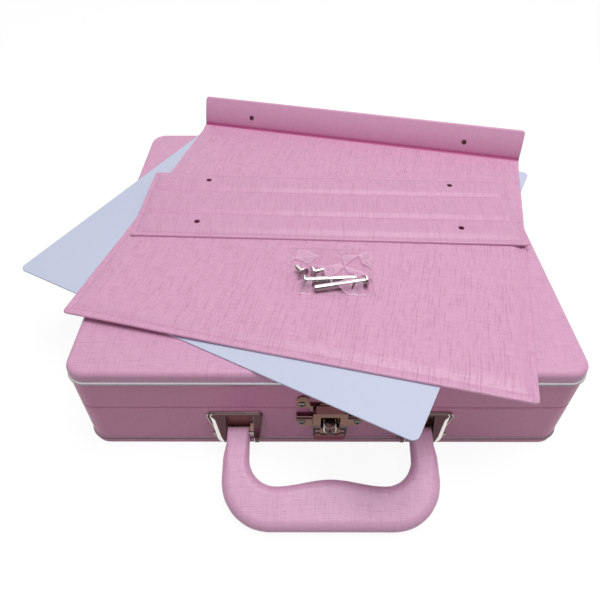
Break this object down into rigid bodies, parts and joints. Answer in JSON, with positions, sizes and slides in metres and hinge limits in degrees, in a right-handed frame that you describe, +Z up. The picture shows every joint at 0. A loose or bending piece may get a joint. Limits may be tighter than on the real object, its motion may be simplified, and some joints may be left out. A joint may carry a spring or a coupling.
{
  "type": "bobbin box",
  "caption": "Leatherette case with hinged lid, fold-down handle and draw clasp, with a white sheet, folding album cover, spine strip and bagged posts lying on it.",
  "frame": {"origin": "middle of the case's underside, on the surface it lies on", "axes": "+Z up out of the lid, the handle and clasp face -Y, +X to the right seen from the front"},
  "size_m": [0.4116, 0.4312, 0.1098],
  "materials": {
    "leatherette": "crosshatched satin leatherette over board",
    "silver_piping": "silvered plastic piping",
    "padded_cover": "crosshatched satin leatherette, heat sealed",
    "lining": "flocked",
    "nickel": "polished nickel plate",
    "steel": "bright plated",
    "board": "grey board",
    "white_card": "smooth matte",
    "clear_film": "clear film"
  },
  "bodies": {
    "base": {"base_frame": "leatherette", "base_bottom_panel": "leatherette", "base_trim": "silver_piping", "base_lining": "lining", "base_hinge_leaves": "steel", "hinge_pins": "steel", "base_hinge_screws": "steel", "left_handle_bracket": "nickel", "right_handle_bracket": "nickel", "handle_pivot_pins": "steel", "bracket_screws": "steel", "clasp_base_plate": "nickel", "clasp_base_screws": "steel", "lever_pivots": "steel", "lock_housing": "nickel"},
    "lid": {"lid_top_panel": "leatherette", "lid_trim": "silver_piping", "lid_frame": "leatherette", "lid_lining": "lining", "lid_hinge_leaves": "steel", "lid_hinge_screws": "steel", "strike_plate": "nickel", "strike_screws": "steel"},
    "handle": {"handle_grip": "leatherette", "handle_strap": "steel"},
    "lever": {"clasp_lever": "nickel"},
    "loop": {"draw_loop": "nickel", "loop_pins": "steel"},
    "plug": {"lock_plug": "nickel"},
    "sheet": {"white_sheet": "white_card"},
    "cover": {"cover_board": "padded_cover", "cover_stiffener": "board"},
    "flange": {"cover_flange": "padded_cover", "flange_stiffener": "board"},
    "spine": {"spine_band": "padded_cover", "spine_stiffener": "board"},
    "front_flap": {"front_band": "padded_cover", "front_band_stiffener": "board"},
    "back_flap": {"back_band": "padded_cover", "back_band_stiffener": "board"},
    "bag": {"post_bag": "clear_film", "screw_posts": "steel", "cap_screws": "steel"}
  },
  "joints": [
    {"name": "lid_hinge", "type": "hinge", "parent": "base", "child": "lid", "pos_m": [0, 0.1526, 0.0444], "axis": [-1, 0, 0], "range_deg": [0, 100]},
    {"name": "handle_pivot", "type": "hinge", "parent": "base", "child": "handle", "pos_m": [0.003, -0.1555, 0.0215], "axis": [-1, 0, 0], "range_deg": [0, 74]},
    {"name": "clasp_lever_pivot", "type": "hinge", "parent": "base", "child": "lever", "pos_m": [0.003, -0.1534, 0.0305], "axis": [-1, 0, 0], "range_deg": [0, 100]},
    {"name": "draw_loop_pivot", "type": "hinge", "parent": "lever", "child": "loop", "pos_m": [0.003, -0.1546, 0.024], "axis": [-1, 0, 0], "range_deg": [-100, 0]},
    {"name": "lock_turn", "type": "hinge", "parent": "base", "child": "plug", "pos_m": [0.003, -0.155, 0.0285], "axis": [0, -1, 0], "range_deg": [0, 90]},
    {"name": "sheet_lift", "type": "slide", "parent": "lid", "child": "sheet", "axis": [0, 0, 1], "range_m": [0, 0.06]},
    {"name": "cover_lift", "type": "slide", "parent": "sheet", "child": "cover", "axis": [0, 0, 1], "range_m": [0, 0.06]},
    {"name": "flange_fold", "type": "hinge", "parent": "cover", "child": "flange", "pos_m": [0.03576, 0.12699, 0.0852], "axis": [0.9728, -0.2317, 0], "range_deg": [-60, 20]},
    {"name": "strip_lift", "type": "slide", "parent": "cover", "child": "spine", "axis": [0, 0, 1], "range_m": [0, 0.06]},
    {"name": "front_flap_fold", "type": "hinge", "parent": "spine", "child": "front_flap", "pos_m": [0.00536, 0.00101, 0.0895], "axis": [-0.9992, 0.0401, 0], "range_deg": [0, 90]},
    {"name": "back_flap_fold", "type": "hinge", "parent": "spine", "child": "back_flap", "pos_m": [0.00664, 0.03299, 0.0895], "axis": [0.9992, -0.0401, 0], "range_deg": [0, 90]},
    {"name": "bag_lift", "type": "slide", "parent": "cover", "child": "bag", "axis": [0, 0, 1], "range_m": [0, 0.06]}
  ],
  "couplings": [
    {"joint": "draw_loop_pivot", "follows": "clasp_lever_pivot", "ratio": -1}
  ]
}
